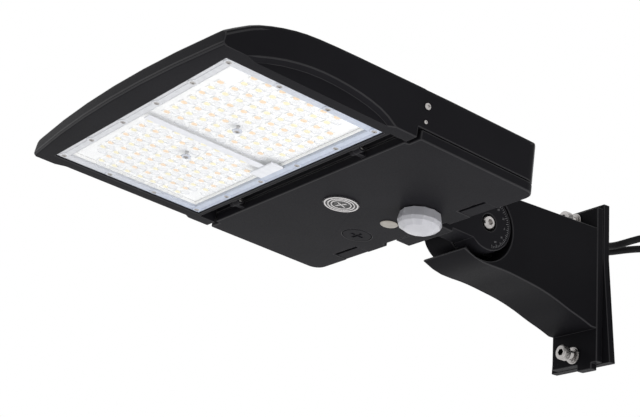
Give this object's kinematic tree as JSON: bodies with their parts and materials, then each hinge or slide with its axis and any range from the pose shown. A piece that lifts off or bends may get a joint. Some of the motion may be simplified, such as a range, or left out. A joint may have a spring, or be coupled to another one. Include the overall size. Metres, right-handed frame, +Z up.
{
  "type": "shoebox area light",
  "caption": "Flat outdoor area light with a clear LED lens, a hinged driver cover with a motion sensor, and a tilting wall arm with two cords.",
  "frame": {"origin": "on the flat rear face of the wall plate, on the arm's middle line, 20 mm under the tilt pivot's height", "axes": "+Y points from the light into the wall, so the light reaches out along -Y; +Z is up; +X is to the right seen from in front of the wall"},
  "size_m": [0.3036, 0.6586, 0.164],
  "materials": {
    "black_coat": "satin black powder coat on die-cast aluminium",
    "black_plastic": "fine moulded texture",
    "clear_lens": "clear polycarbonate",
    "seal": "matt silicone",
    "led_board": "white solder mask",
    "stainless": "turned stainless steel",
    "driver_case": "plain metal case",
    "sensor_grey": "grey moulded plastic",
    "milky": "milky translucent plastic",
    "beige_window": "frosted light-sensor window",
    "cord_jacket": "matt black cord jacket"
  },
  "bodies": {
    "arm": {"arm": "black_coat", "wall_plate": "black_coat", "pivot_bolt": "stainless", "pivot_nut": "stainless", "mount_bolt_upper": "stainless", "mount_washer_upper": "stainless", "mount_bolt_lower": "stainless", "mount_washer_lower": "stainless", "supply_relief": "cord_jacket", "supply_cord": "cord_jacket", "supply_coil": "cord_jacket", "supply_tie": "cord_jacket", "dimming_relief": "cord_jacket", "dimming_cord": "cord_jacket", "dimming_coil": "cord_jacket", "dimming_tie": "cord_jacket"},
    "head": {"housing": "black_coat", "lens_panel": "clear_lens", "lens_gasket": "seal", "led_board_left": "led_board", "led_board_right": "led_board", "lens_screw_01": "stainless", "lens_screw_02": "stainless", "lens_screw_03": "stainless", "lens_screw_04": "stainless", "lens_screw_05": "stainless", "lens_screw_06": "stainless", "lens_screw_07": "stainless", "lens_screw_08": "stainless", "lens_screw_09": "stainless", "lens_screw_10": "stainless", "lens_screw_11": "stainless", "lens_screw_12": "stainless", "lens_screw_13": "stainless", "lens_screw_14": "stainless", "lens_screw_15": "stainless", "lens_screw_16": "stainless", "lens_screw_17": "stainless", "lens_screw_18": "stainless", "hinge_pin_left": "stainless", "hinge_pin_right": "stainless", "led_driver": "driver_case", "surge_protector": "black_plastic", "terminal_block": "milky", "side_screw_left_large": "stainless", "side_screw_left_small": "stainless", "side_screw_right_large": "stainless", "side_screw_right_small": "stainless"},
    "cover": {"driver_cover": "black_coat", "cover_seal": "seal", "sensor_body": "sensor_grey", "sensor_dome": "milky", "sensor_locknut": "black_plastic", "light_sensor_window": "beige_window", "selector_switch": "black_plastic", "blanking_plug": "black_plastic"},
    "catch_left": {"cover_catch_left": "black_plastic"},
    "catch_right": {"cover_catch_right": "black_plastic"},
    "dial": {"selector_dial": "milky"},
    "cap": {"selector_cap": "clear_lens"}
  },
  "joints": [
    {"name": "head_tilt", "type": "hinge", "parent": "arm", "child": "head", "pos_m": [0, -0.159, 0.02], "axis": [-1, 0, 0], "range_deg": [-15, 75]},
    {"name": "cover_swing", "type": "hinge", "parent": "head", "child": "cover", "pos_m": [0, -0.35027, 0.01725], "axis": [-1, 0, 0], "range_deg": [0, 90]},
    {"name": "catch_left_slide", "type": "slide", "parent": "cover", "child": "catch_left", "axis": [0, -0.9962, 0.0872], "range_m": [0, 0.003], "stiffness_N_per_m": 400, "springref_m": -0.002},
    {"name": "catch_right_slide", "type": "slide", "parent": "cover", "child": "catch_right", "axis": [0, -0.9962, 0.0872], "range_m": [0, 0.003], "stiffness_N_per_m": 400, "springref_m": -0.002},
    {"name": "selector_dial_turn", "type": "hinge", "parent": "cover", "child": "dial", "pos_m": [-0.0015, -0.29783, 0.00844], "axis": [0, 0.0872, 0.9962], "range_deg": [0, 90]},
    {"name": "selector_cap_turn", "type": "hinge", "parent": "cover", "child": "cap", "pos_m": [-0.0015, -0.29783, 0.00844], "axis": [0, 0.0872, 0.9962], "range_deg": [0, 60]}
  ]
}
